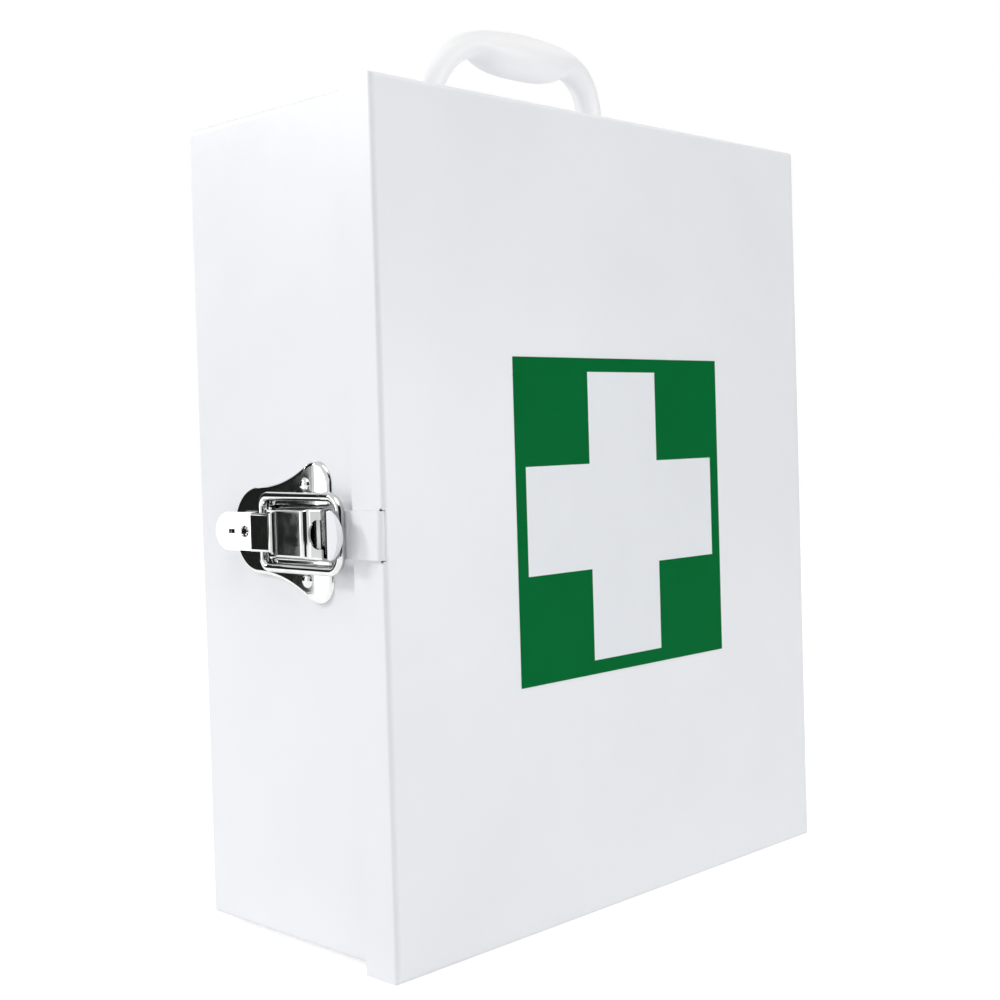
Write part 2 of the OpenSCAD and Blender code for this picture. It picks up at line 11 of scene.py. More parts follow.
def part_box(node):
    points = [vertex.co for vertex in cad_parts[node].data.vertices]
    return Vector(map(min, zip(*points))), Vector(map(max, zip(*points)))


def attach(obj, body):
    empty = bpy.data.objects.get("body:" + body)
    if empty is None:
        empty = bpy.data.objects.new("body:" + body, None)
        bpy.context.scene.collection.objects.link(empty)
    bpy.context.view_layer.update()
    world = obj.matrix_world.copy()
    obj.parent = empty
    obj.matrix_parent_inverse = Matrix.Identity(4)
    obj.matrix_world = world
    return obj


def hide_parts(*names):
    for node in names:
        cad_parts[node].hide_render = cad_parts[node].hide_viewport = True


mm = 0.001
near = 0.01  # mm, closer than this is the same place
past = 3.0  # mm that a cutting tool passes beyond a sheet
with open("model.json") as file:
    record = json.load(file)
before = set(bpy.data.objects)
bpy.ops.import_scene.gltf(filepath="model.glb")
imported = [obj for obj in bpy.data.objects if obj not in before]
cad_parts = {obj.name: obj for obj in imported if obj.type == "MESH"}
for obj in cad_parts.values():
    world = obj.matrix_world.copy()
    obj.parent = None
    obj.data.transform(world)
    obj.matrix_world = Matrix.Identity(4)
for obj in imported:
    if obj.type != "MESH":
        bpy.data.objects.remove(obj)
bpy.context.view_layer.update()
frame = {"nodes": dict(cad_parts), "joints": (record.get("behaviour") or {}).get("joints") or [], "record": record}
scene = bpy.context.scene
joints = {joint["name"]: Vector(joint["pos_m"]) / mm for joint in frame["joints"]}


def boxMm(node):
    low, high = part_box(node)
    return low / mm, high / mm


doorLow, doorHigh = boxMm("door_pan")
bodyLow, bodyHigh = boxMm("cabinet_wrap")

print("camera")
camera = {
    "at": (-560.2, -612.9, 39.1),  # mm
    "turn": (88.716, 1.634, -45.884),  # degrees
    "lens": 54.49,
    "shift": (-0.0234, -0.0334),
}
lensData = bpy.data.cameras.new("camera")
lensData.lens = camera["lens"]
lensData.sensor_width = 36
lensData.shift_x, lensData.shift_y = camera["shift"]
lensData.clip_start = 0.02
cameraObject = bpy.data.objects.new("camera", lensData)
cameraObject.location = Vector(camera["at"]) * mm
cameraObject.rotation_euler = Euler([radians(turn) for turn in camera["turn"]])
scene.collection.objects.link(cameraObject)
scene.camera = cameraObject
scene.view_settings.view_transform = "Standard"


def linear(hexColour):
    # sRGB hex to the linear values that shaders take
    channels = [int(hexColour[i:i + 2], 16) / 255 for i in (0, 2, 4)]
    return [c / 12.92 if c <= 0.04045 else ((c + 0.055) / 1.055) ** 2.4 for c in channels] + [1]


def addNode(material, kind, settings=None, links=None):
    # a setting or link is named by its socket, by the socket's number, or by the node's property
    node = material.node_tree.nodes.new(kind)
    for name, value in (settings or {}).items():
        if isinstance(name, str) and hasattr(node, name):
            setattr(node, name, value)
    for name, value in (settings or {}).items():
        if not isinstance(name, str) or not hasattr(node, name):
            node.inputs[name].default_value = value
    for name, source in (links or {}).items():
        material.node_tree.links.new(source, node.inputs[name])
    return node


def startMaterial(name, settings):
    material = bpy.data.materials.new(name)
    material.use_nodes = True
    material.node_tree.nodes.clear()
    surface = addNode(material, "ShaderNodeBsdfPrincipled", settings)
    addNode(material, "ShaderNodeOutputMaterial", links={"Surface": surface.outputs[0]})
    place = addNode(material, "ShaderNodeTexCoord").outputs["Object"]
    return material, surface, place


def perMetre(sizeMm):
    # noise scale whose cells are sizeMm across
    return 1 / (sizeMm * mm)


def joinLinks(material, source, socket):
    material.node_tree.links.new(source, socket)


def patches(material, place, sizeMm, low, high, detail=2):
    # Soft patches about sizeMm across, with values from low to high. Noise mostly lies between
    # 0.3 and 0.7, so that stretch of it is used.
    cells = addNode(material, "ShaderNodeTexNoise", {"Scale": perMetre(sizeMm), "Detail": detail},
                    {"Vector": place})
    return addNode(material, "ShaderNodeMapRange",
                   {"From Min": 0.3, "From Max": 0.7, "To Min": low, "To Max": high},
                   {"Value": cells.outputs[0]}).outputs[0]


def mottleColour(material, surface, place, sizeMm, first, second, detail=2):
    # the colour wanders between two in patches; 6 and 7 are the mix's two colours
    mixed = addNode(material, "ShaderNodeMix", {"data_type": "RGBA", 6: linear(first), 7: linear(second)},
                    {0: patches(material, place, sizeMm, 0, 1, detail)})
    joinLinks(material, mixed.outputs[2], surface.inputs["Base Color"])


def varyGloss(material, surface, place, sizeMm, gloss, detail=2):
    joinLinks(material, patches(material, place, sizeMm, *gloss, detail), surface.inputs["Roughness"])


def pebbleSkin(material, surface, place, sizeMm, depthMm, detail=2, under=None):
    # a bumpy skin of a real depth; under is a coarser skin that this one lies on
    cells = addNode(material, "ShaderNodeTexNoise", {"Scale": perMetre(sizeMm), "Detail": detail},
                    {"Vector": place})
    links = {"Height": cells.outputs[0]}
    if under:
        links["Normal"] = under
    skin = addNode(material, "ShaderNodeBump", {"Strength": 1.0, "Distance": depthMm * mm}, links).outputs[0]
    joinLinks(material, skin, surface.inputs["Normal"])
    return skin


print("materials")
# In these, sizes and depths are in mm, and gloss is the range of the roughness.
powder = {"white": "F3F5F8", "shade": "F0F2F6", "cloud": 70, "gloss": (0.30, 0.35), "glossPatch": 9,
          "peel": 2.6, "peelDepth": 0.009, "grain": 0.5, "grainDepth": 0.004}


def powderCoatedSteel():
    # Powder coat: polyester powder baked on steel. Semi-gloss, with a faint orange peel and a fine
    # grain, and an even white that is barely warmer in places.
    material, surface, place = startMaterial("powder_coat", {"IOR": 1.5})
    mottleColour(material, surface, place, powder["cloud"], powder["white"], powder["shade"])
    varyGloss(material, surface, place, powder["glossPatch"], powder["gloss"])
    peel = pebbleSkin(material, surface, place, powder["peel"], powder["peelDepth"], 1)
    pebbleSkin(material, surface, place, powder["grain"], powder["grainDepth"], 1, peel)
    return material


moulded = {"white": "FDFDFE", "gloss": (0.31, 0.41), "flow": 14, "grain": 0.8, "grainDepth": 0.006,
           "glow": 0.06, "glowDepth": 4}


def mouldedPolypropylene():
    # Injection moulded polypropylene: a soft sheen that follows the melt's flow, a finely sparked
    # mould's grain, and light that goes a little way in.
    settings = {"Base Color": linear(moulded["white"]), "IOR": 1.49, "Subsurface Weight": moulded["glow"],
                "Subsurface Radius": [moulded["glowDepth"] * mm] * 3, "Subsurface Scale": 1.0}
    material, surface, place = startMaterial("moulded_polypropylene", settings)
    varyGloss(material, surface, place, moulded["flow"], moulded["gloss"])
    pebbleSkin(material, surface, place, moulded["grain"], moulded["grainDepth"])
    return material


chrome = {"tint": "D6D7D6", "dull": "C4C6C6", "gloss": (0.02, 0.06), "smudge": 6, "scratch": 0.35,
          "scratchDepth": 0.0012, "scratchDrawn": 0.08}


def chromePlate():
    # Nickel-chrome plate on pressed steel: mirror bright, with smudges from fingers and hair
    # scratches along the latch. Real hairs are too fine to show, so these are drawn coarser.
    material, surface, place = startMaterial("chrome_plate", {"Metallic": 1.0})
    mottleColour(material, surface, place, chrome["smudge"], chrome["tint"], chrome["dull"], 3)
    varyGloss(material, surface, place, chrome["smudge"], chrome["gloss"], 3)
    drawn = addNode(material, "ShaderNodeMapping", {"Scale": (1, chrome["scratchDrawn"], 1)},
                    {"Vector": place}).outputs[0]
    pebbleSkin(material, surface, drawn, chrome["scratch"], chrome["scratchDepth"])
    return material


zinc = {"light": "B4B7BA", "dark": "9EA2A6", "mottle": 3, "gloss": (0.3, 0.4), "glossPatch": 1.2}


def zincPlate():
    # Bright zinc on steel: a soft grey metal with a mottled passivated skin.
    material, surface, place = startMaterial("zinc_plate", {"Metallic": 1.0})
    mottleColour(material, surface, place, zinc["mottle"], zinc["light"], zinc["dark"], 3)
    varyGloss(material, surface, place, zinc["glossPatch"], zinc["gloss"])
    return material


brass = {"light": "C9A659", "dark": "B8924A", "patch": 2, "roughness": 0.24, "rings": 1.5, "ringDepth": 0.004}


def turnedBrass():
    # Turned brass: warm yellow, with lathe rings across the axis, drawn coarser than real ones.
    material, surface, place = startMaterial("turned_brass", {"Metallic": 1.0, "Roughness": brass["roughness"]})
    mottleColour(material, surface, place, brass["patch"], brass["light"], brass["dark"])
    rings = addNode(material, "ShaderNodeTexWave", {"Scale": perMetre(brass["rings"]), "bands_direction": "Z"},
                    {"Vector": place})
    turned = addNode(material, "ShaderNodeBump", {"Strength": 1.0, "Distance": brass["ringDepth"] * mm},
                     {"Height": rings.outputs[0]})
    joinLinks(material, turned.outputs[0], surface.inputs["Normal"])
    return material


vinyl = {"patch": 25, "glossPatch": 5, "peelThrough": 0.7}
greenFilm = {"name": "green_vinyl", "colour": "006C34", "shade": "006A31", "gloss": (0.43, 0.48), "sheen": 0.02}
whiteFilm = {"name": "white_vinyl", "colour": "EDF0F4", "shade": "EBEEF2", "gloss": (0.33, 0.38), "sheen": 0.3}


def vinylFilm(film):
    # Calendered vinyl film: even colour and a smooth sheen over the paint's orange peel.
    material, surface, place = startMaterial(film["name"], {"IOR": 1.52, "Specular IOR Level": film["sheen"]})
    mottleColour(material, surface, place, vinyl["patch"], film["colour"], film["shade"])
    varyGloss(material, surface, place, vinyl["glossPatch"], film["gloss"])
    pebbleSkin(material, surface, place, powder["peel"], powder["peelDepth"] * vinyl["peelThrough"], 1)
    return material


finishes = {
    "powder_coat": powderCoatedSteel(),
    "moulded_handle": mouldedPolypropylene(),
    "chrome_plate": chromePlate(),
    "zinc_plate": zincPlate(),
    "brass": turnedBrass(),
    "green_vinyl": vinylFilm(greenFilm),
    "white_vinyl": vinylFilm(whiteFilm),
}
for part in frame["record"]["subparts"]:
    node = frame["nodes"][part["node"]]
    node.data.materials.clear()
    node.data.materials.append(finishes[part["material_slot"]])

# The latch is drawn flat on the cabinet's left side: u runs back from the door's face, v down
# from the latch's middle and h out from the door's flange. This puts it in its place.
latchPlace = Matrix.Translation(Vector((doorLow.x, doorLow.y, joints["lever_lift"].z)) * mm) @ Matrix(
    ((0, 0, -1, 0), (1, 0, 0, 0), (0, -1, 0, 0), (0, 0, 0, 1))) @ Matrix.Scale(mm, 4)
cabinetPlace = Matrix.Scale(mm, 4)


def madeVerts(result):
    return [part for part in result["geom"] if isinstance(part, bmesh.types.BMVert)]


def madeEdges(result):
    return [part for part in result["geom"] if isinstance(part, bmesh.types.BMEdge)]


def roundEdges(bm, edges, radius, segments):
    bmesh.ops.bevel(bm, geom=edges, offset=radius, offset_type="OFFSET", affect="EDGES",
                    segments=segments, profile=0.5, material=-1, clamp_overlap=True)


def foldedStrip(path, width, radii):
    # sheet metal that follows a path of (u, h) points, centred across v, with its folds rounded
    bm = bmesh.new()
    start = bmesh.ops.create_vert(bm, co=(path[0][0], -width / 2, path[0][1]))["vert"][0]
    for here, there in zip(path, path[1:]):
        start = bmesh.ops.extrude_vert_indiv(bm, verts=[start])["verts"][0]
        bmesh.ops.translate(bm, verts=[start], vec=(there[0] - here[0], 0, there[1] - here[1]))
    across = bmesh.ops.extrude_edge_only(bm, edges=bm.edges[:])
    bmesh.ops.translate(bm, verts=madeVerts(across), vec=(0, width, 0))
    for (u, h), radius in zip(path[1:-1], radii):
        roundEdges(bm, [edge for edge in bm.edges if liesAt(edge, u, h)], radius, 6)
    return bm


def liesAt(edge, u, h):
    # an edge that runs across the sheet at one point of its path
    return all(abs(vert.co.x - u) < near and abs(vert.co.z - h) < near for vert in edge.verts)


def roundEnd(bm, u, radius):
    # the two corners where a strip ends become one round end
    corners = [vert for vert in bm.verts if abs(vert.co.x - u) < near]
    bmesh.ops.bevel(bm, geom=corners, affect="VERTICES", offset=radius, offset_type="OFFSET",
                    segments=14, profile=0.5, material=-1)


def finishPiece(name, bm, place, body, node, slot, bend, sheet=0, edge=0, levels=0, broad=0):
    # A mesh in millimetres becomes a piece in the frame, with its wall and its edges finished.
    # It is sharp where it bends by more than bend degrees, and faces over a broad area (mm2)
    # stay flat, so that a fold's highlight stops at the fold.
    bmesh.ops.remove_doubles(bm, verts=bm.verts, dist=0.0005)
    bmesh.ops.recalc_face_normals(bm, faces=bm.faces)
    bm.transform(place)
    mesh = bpy.data.meshes.new(name)
    bm.to_mesh(mesh)
    bm.free()
    mesh.shade_smooth()
    mesh.set_sharp_from_angle(angle=radians(bend))
    for face in mesh.polygons:
        face.use_smooth = not broad or face.area < broad * mm * mm
    piece = bpy.data.objects.new(name, mesh)
    scene.collection.objects.link(piece)
    piece.data.materials.append(finishes[slot])
    if sheet:
        wall = piece.modifiers.new("wall", "SOLIDIFY")
        wall.thickness = sheet * mm
        wall.offset = 0
        wall.use_even_offset = True
    if edge:
        rounding = piece.modifiers.new("edges", "BEVEL")
        rounding.width = edge * mm
        rounding.segments = 3
        rounding.angle_limit = radians(bend)
        rounding.use_clamp_overlap = True
    if levels:
        smooth = piece.modifiers.new("smooth", "SUBSURF")
        smooth.levels = smooth.render_levels = levels
    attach(piece, body)
    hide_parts(node)


print("handle")
# Half of the handle, from a foot to the middle:
# (across, up from the box, forward, turn, half thickness, half depth)
handle = {
    "stations": [
        (59.0, 0.0, 0.0, 0, 8.4, 8.4),
        (59.0, 1.2, 0.0, 0, 8.3, 8.3),
        (59.1, 4.5, 0.0, 0, 7.3, 7.3),
        (59.2, 13.0, 0.6, 3, 6.9, 6.9),
        (58.4, 21.0, 1.6, 14, 6.8, 6.8),
        (55.9, 27.5, 2.7, 26, 6.8, 6.8),
        (52.4, 33.2, 3.8, 38, 6.8, 6.9),
        (47.9, 38.0, 4.9, 50, 6.8, 7.2),
        (42.4, 41.7, 5.7, 61, 6.7, 7.8),
        (36.6, 44.0, 6.2, 72, 6.5, 8.8),
        (31.0, 44.6, 6.3, 82, 7.2, 10.0),
        (26.0, 43.6, 6.3, 88, 9.2, 11.0),
        (18.0, 43.1, 6.3, 90, 10.6, 12.0),
        (9.0, 43.1, 6.3, 90, 11.3, 12.6),
        (0.0, 43.2, 6.3, 90, 11.4, 12.8),
    ],
    "sides": 24,
}
handleLow, handleHigh = boxMm("handle")
handleMiddle = (handleLow + handleHigh) / 2


def makeHandle():
    bm = bmesh.new()
    bmesh.ops.create_circle(bm, cap_ends=False, radius=1, segments=handle["sides"])
    ring = {"geom": bm.verts[:] + bm.edges[:]}
    foot = madeEdges(ring)
    was = Matrix.Identity(4)
    for number, (across, up, forward, turn, thick, deep) in enumerate(handle["stations"]):
        now = (Matrix.Translation((across, handleMiddle.y - forward, handleLow.z + up))
               @ Matrix.Rotation(radians(-turn), 4, "Y") @ Matrix.Diagonal((thick, deep, 1, 1)))
        if number:
            ring = bmesh.ops.extrude_edge_only(bm, edges=madeEdges(ring))
        bmesh.ops.transform(bm, matrix=now @ was.inverted(), verts=madeVerts(ring))
        was = now
    bmesh.ops.contextual_create(bm, geom=foot)
    bmesh.ops.mirror(bm, geom=bm.verts[:] + bm.edges[:] + bm.faces[:], axis="X", merge_dist=near)
    finishPiece("handle_moulding", bm, cabinetPlace, "cabinet", "handle", "moulded_handle", bend=60, levels=2)


makeHandle()

print("latch")
# Where the lever and the ring turn, the lock's pin, and the cabinet's side.
pivotU = joints["lever_lift"].y - doorLow.y
pivotH = doorLow.x - joints["lever_lift"].x
eyeU = joints["bail_swing"].y - doorLow.y
eyeH = doorLow.x - joints["bail_swing"].x
postU = joints["lock_turn"].y - doorLow.y
sideH = doorLow.x - bodyLow.x


def spanU(node):
    # how far back from the door's face a piece on the left side starts and ends
    low, high = boxMm(node)
    return low.y - doorLow.y, high.y - doorLow.y


def widthOf(node):
    low, high = boxMm(node)
    return high.z - low.z


def topOf(node):
    # how far out from the door's flange a piece on the left side reaches
    return doorLow.x - boxMm(node)[0].x


basePlate = {
    "rise": 2.5, "rim": 2.3, "rimSteps": 6,  # the rolled rim's height and width
    "slopeFrom": 11.0, "slopeDrop": 0.6, "slopeCuts": 18,  # the front's fall, as a share of the height
    "earRound": 10, "earSteps": 30,
    "lobeRound": 18, "lobeTop": 20.2, "lobeSteps": 24,
    "flankRound": 70, "flankSteps": 20,
}


def makeBasePlate():
    # the outline runs round one half: lobe, hollow flank, ear and front edge
    front, back = spanU("latch_base")
    earTop = widthOf("latch_base") / 2
    lobe = Vector((back - basePlate["lobeRound"], basePlate["lobeTop"] - basePlate["lobeRound"], 0))
    flank = Vector((lobe.x, basePlate["lobeTop"] + basePlate["flankRound"], 0))
    ear = Vector((front + basePlate["earRound"], earTop - basePlate["earRound"], 0))
    toEar = ear - flank
    # the flank stops where it comes nearest to the ear's circle
    swing = pi / 2 - abs(Vector((toEar.x, toEar.y)).angle(Vector((-1, 0))))
    bm = bmesh.new()
    start = bmesh.ops.create_vert(bm, co=(back, 0, 0))["vert"]
    rise = bmesh.ops.extrude_vert_indiv(bm, verts=start)["verts"]
    bmesh.ops.translate(bm, verts=rise, vec=(0, lobe.y, 0))
    arc = bmesh.ops.spin(bm, geom=rise, cent=lobe, axis=(0, 0, 1), angle=pi / 2,
                         steps=basePlate["lobeSteps"])
    arc = bmesh.ops.spin(bm, geom=lastVerts(arc), cent=flank, axis=(0, 0, 1), angle=-swing,
                         steps=basePlate["flankSteps"])
    onEar = lastVerts(arc)[0]
    shoulder = (ear + (onEar.co - ear).normalized() * basePlate["earRound"]) - onEar.co
    step = bmesh.ops.extrude_vert_indiv(bm, verts=[onEar])["verts"]
    bmesh.ops.translate(bm, verts=step, vec=shoulder)
    fromEar = step[0].co - ear
    turn = pi - Vector((fromEar.x, fromEar.y)).angle(Vector((1, 0)))
    arc = bmesh.ops.spin(bm, geom=step, cent=ear, axis=(0, 0, 1), angle=turn, steps=basePlate["earSteps"])
    down = bmesh.ops.extrude_vert_indiv(bm, verts=lastVerts(arc))["verts"]
    bmesh.ops.translate(bm, verts=down, vec=(0, -down[0].co.y, 0))
    bmesh.ops.mirror(bm, geom=bm.verts[:] + bm.edges[:], axis="Y", merge_dist=near)
    bmesh.ops.remove_doubles(bm, verts=bm.verts, dist=2 * near)
    bmesh.ops.contextual_create(bm, geom=bm.edges[:])
    if bm.faces[0].normal.z < 0:
        bmesh.ops.reverse_faces(bm, faces=bm.faces[:])
    bmesh.ops.translate(bm, verts=bm.verts, vec=(0, 0, sideH))
    top = bm.faces[:]
    for i in range(basePlate["rimSteps"]):
        # the rim climbs a quarter circle as it goes in
        low, high = (pi / 2 * step / basePlate["rimSteps"] for step in (i, i + 1))
        bmesh.ops.inset_region(bm, faces=top, thickness=basePlate["rim"] * (cos(low) - cos(high)),
                               depth=0, use_even_offset=True, use_boundary=True)
        bmesh.ops.translate(bm, verts=top[0].verts[:], vec=(0, 0, basePlate["rise"] * (sin(high) - sin(low))))
    slopeEnd = front + basePlate["slopeFrom"]
    for i in range(basePlate["slopeCuts"] + 1):
        at = front + basePlate["slopeFrom"] * i / basePlate["slopeCuts"]
        bmesh.ops.bisect_plane(bm, geom=bm.verts[:] + bm.edges[:] + bm.faces[:], dist=0.001,
                               plane_co=(at, 0, 0), plane_no=(1, 0, 0))
    for vert in bm.verts:
        # the front runs down to the cabinet in one long curve
        along = max(0, slopeEnd - vert.co.x) / basePlate["slopeFrom"]
        vert.co.z = sideH + (vert.co.z - sideH) * (1 - basePlate["slopeDrop"] * along ** 2)
    finishPiece("latch_base_plate", bm, latchPlace, "cabinet", "latch_base", "chrome_plate", bend=50, broad=60)


def lastVerts(result):
    return [part for part in result["geom_last"] if isinstance(part, bmesh.types.BMVert)]


def cutOut(bm, cutters):
    # takes closed shapes out of a sheet or a solid
    solid = bpy.data.meshes.new("solid")
    bm.to_mesh(solid)
    holder = bpy.data.objects.new("solid", solid)
    scene.collection.objects.link(holder)
    tools = []
    for cutter in cutters:
        shape = bpy.data.meshes.new("cutter")
        bmesh.ops.recalc_face_normals(cutter, faces=cutter.faces)
        cutter.to_mesh(shape)
        tool = bpy.data.objects.new("cutter", shape)
        scene.collection.objects.link(tool)
        cut = holder.modifiers.new("cut", "BOOLEAN")
        cut.operation = "DIFFERENCE"
        cut.solver = "EXACT"
        cut.object = tool
        tools.append(tool)
    bpy.context.view_layer.update()
    done = holder.evaluated_get(bpy.context.evaluated_depsgraph_get())
    bm.clear()
    bm.from_mesh(done.to_mesh())
    for thing in tools + [holder]:
        bpy.data.objects.remove(thing)


def post(at, radius, low, high, sides):
    # a closed upright cylinder in latch space
    bm = bmesh.new()
    bmesh.ops.create_cone(bm, cap_ends=True, segments=sides, radius1=radius, radius2=radius, depth=high - low)
    bmesh.ops.translate(bm, verts=bm.verts, vec=(at[0], at[1], (low + high) / 2))
    return bm


def block(low, high):
    # a closed box in latch space
    bm = bmesh.new()
    bmesh.ops.create_cube(bm, size=1)
    low, high = Vector(low), Vector(high)
    bmesh.ops.scale(bm, vec=high - low, verts=bm.verts)
    bmesh.ops.translate(bm, verts=bm.verts, vec=(low + high) / 2)
    return bm


def thicken(bm, thickness):
    # gives a sheet its wall, on the side away from the viewer of the latch
    bmesh.ops.recalc_face_normals(bm, faces=bm.faces)
    top = max(bm.faces, key=lambda face: face.calc_area() * abs(face.normal.z))
    if top.normal.z < 0:
        bmesh.ops.reverse_faces(bm, faces=bm.faces[:])
    bmesh.ops.solidify(bm, geom=bm.faces[:], thickness=thickness)


makeBasePlate()

rivet = {"behind": 15.7, "aside": 21.0, "head": 3.4, "crown": 2.1, "sunk": 0.4}


def makeRivets():
    bm = bmesh.new()
    front = spanU("latch_base")[0]
    for side in (-1, 1):
        dome = bmesh.ops.create_uvsphere(bm, u_segments=64, v_segments=40, radius=1)["verts"]
        bmesh.ops.scale(bm, vec=(rivet["head"], rivet["head"], rivet["crown"]), verts=dome)
        place = (front + rivet["behind"], side * rivet["aside"], sideH + basePlate["rise"] - rivet["sunk"])
        bmesh.ops.translate(bm, vec=place, verts=dome)
    finishPiece("rivet_heads", bm, latchPlace, "cabinet", "latch_rivets", "chrome_plate", bend=60)


makeRivets()

bridge = {
    "thick": 1.0, "fold": 1.1, "footSunk": 0.6,
    "highTop": 9.0, "highBack": 9.0, "highLength": 16.8,
    "stepRun": 2.0, "stepDrop": 2.5, "stepRound": 1.1,
    "lowLength": 7.9, "lowDrop": 0.44,
    "earRound": 3.6, "earTurn": 100,
    "holeRound": 6.3, "holeBack": 1.7,
    "spread": 1.07, "flare": 0.024,  # the sides' spread at the pivot, and more of it per mm below
}


def makeBridge():
    # its side view, drawn out across the latch, then opened below, in front and behind
    width = widthOf("latch_bridge")
    foot = sideH + basePlate["rise"] - bridge["footSunk"]
    highBack = pivotU - bridge["highBack"]
    highFront = highBack - bridge["highLength"]
    lowBack = highFront - bridge["stepRun"]
    lowFront = lowBack - bridge["lowLength"]
    lowTop = bridge["highTop"] - bridge["stepDrop"]
    bm = bmesh.new()
    chain = bmesh.ops.create_vert(bm, co=(pivotU + bridge["earRound"], -width / 2, pivotH))["vert"]
    arc = bmesh.ops.spin(bm, geom=chain, cent=(pivotU, -width / 2, pivotH), axis=(0, -1, 0),
                         angle=radians(bridge["earTurn"]), steps=8)
    chain = lastVerts(arc)
    outline = [(highBack, bridge["highTop"]), (highFront, bridge["highTop"]), (lowBack, lowTop),
               (lowFront, lowTop - bridge["lowDrop"]), (lowFront, foot),
               (pivotU + bridge["earRound"], foot)]
    for u, h in outline:
        chain = bmesh.ops.extrude_vert_indiv(bm, verts=chain)["verts"]
        bmesh.ops.translate(bm, verts=chain, vec=(u - chain[0].co.x, 0, h - chain[0].co.z))
    bmesh.ops.contextual_create(bm, geom=bm.edges[:] + bm.verts[:])
    bmesh.ops.remove_doubles(bm, verts=bm.verts, dist=near)
    other = bmesh.ops.extrude_face_region(bm, geom=bm.faces[:], use_keep_orig=True)
    bmesh.ops.translate(bm, verts=madeVerts(other), vec=(0, width, 0))
    bmesh.ops.recalc_face_normals(bm, faces=bm.faces)
    opened = []
    for face in bm.faces:
        middle = face.calc_center_median()
        if abs(face.normal.y) < 0.5 and not (lowFront < middle.x < highBack and face.normal.z > 0.3):
            opened.append(face)
    bmesh.ops.delete(bm, geom=opened, context="FACES_ONLY")
    bmesh.ops.delete(bm, geom=[edge for edge in bm.edges if not edge.link_faces], context="EDGES")
    across = [edge for edge in bm.edges
              if liesAt(edge, highFront, bridge["highTop"]) or liesAt(edge, lowBack, lowTop)]
    roundEdges(bm, across, bridge["stepRound"], 8)
    shoulders = [edge for edge in bm.edges if len(edge.link_faces) == 2
                 and any(abs(face.normal.y) > 0.9 for face in edge.link_faces)]
    roundEdges(bm, shoulders, bridge["fold"], 6)
    thicken(bm, bridge["thick"])
    hole = (lowFront + bridge["holeBack"], 0)
    cutOut(bm, [post(hole, bridge["holeRound"], lowTop - past, lowTop + past, 48)])
    for vert in bm.verts:
        # the sides spread towards the foot
        vert.co.y *= bridge["spread"] - bridge["flare"] * (vert.co.z - pivotH)
    finishPiece("latch_bridge_pressing", bm, latchPlace, "cabinet", "latch_bridge", "chrome_plate", bend=40,
                edge=0.2, broad=14)


makeBridge()

lever = {
    "thick": 1.0, "fold": 0.9, "corner": 1.1,
    "curl": 2.9, "curlTurn": 190,  # round the pin that it turns on
    "band": 13.7, "cheek": 6.4, "step": 4.2,
    "tab": 27.3, "tabLift": 3.35,
    "keyRound": 2.7, "slotLength": 10.4, "slotWide": 2.0,
    # Plates seen through the keyhole: start and end behind the post, depth below the tab, and
    # whether the plate leans as the tab does.
    "wards": [(-3.4, 3.6, 0.5, 0), (3.6, 8.0, 0.4, 1), (8.0, 11.4, 0.5, 0)],
    "wardWide": 6.0, "wardThick": 0.5,
}


def makeLever():
    width = widthOf("latch_lever")
    bandTop = pivotH + lever["curl"]
    stepU = pivotU + lever["band"]
    tabTop = bandTop - lever["step"]
    tabEnd = stepU + lever["tab"]
    lean = lever["tabLift"] / lever["tab"]
    path = [(pivotU, bandTop), (stepU, bandTop), (stepU, tabTop), (tabEnd, tabTop + lever["tabLift"])]
    bm = foldedStrip(path, width, [lever["fold"], lever["fold"]])
    roundEnd(bm, tabEnd, width / 2 - near)
    curled = [edge for edge in bm.edges if liesAt(edge, pivotU, bandTop)]
    bmesh.ops.spin(bm, geom=curled, cent=(pivotU, 0, pivotH), axis=(0, -1, 0),
                   angle=radians(lever["curlTurn"]), steps=16)
    bandSides = [edge for edge in bm.edges if len(edge.link_faces) == 1
                 and abs(edge.verts[0].co.y - edge.verts[1].co.y) < near
                 and all(vert.co.x > pivotU - near and abs(vert.co.z - bandTop) < near for vert in edge.verts)]
    cheeks = bmesh.ops.extrude_edge_only(bm, edges=bandSides)
    bmesh.ops.translate(bm, verts=madeVerts(cheeks), vec=(0, 0, -lever["cheek"]))
    corners = [edge for edge in bandSides if len(edge.link_faces) == 2]
    roundEdges(bm, corners, lever["corner"], 5)
    thicken(bm, lever["thick"])
    low, high = tabTop - past, bandTop + past
    half = lever["slotWide"] / 2
    slot = block((postU, -half, low), (postU + lever["slotLength"], half, high))
    cutOut(bm, [post((postU, 0), lever["keyRound"], low, high, 40), slot])
    for start, end, below, leans in lever["wards"]:
        middle = postU + (start + end) / 2
        at = Vector((middle, 0, tabTop + lean * (middle - stepU) - below - lever["thick"]))
        size = Matrix.Diagonal((end - start, lever["wardWide"], lever["wardThick"], 1))
        lie = Matrix.Rotation(-lean * leans, 4, "Y") @ size
        bmesh.ops.create_cube(bm, size=1, matrix=Matrix.Translation(at) @ lie)
    finishPiece("lever_pressing", bm, latchPlace, "lever", "latch_lever", "chrome_plate", bend=40,
                edge=0.38, broad=14)


makeLever()

bail = {"wire": 2.0, "frontBend": 7.0, "eyeBend": 4.5, "sides": 36, "bendSteps": 14}


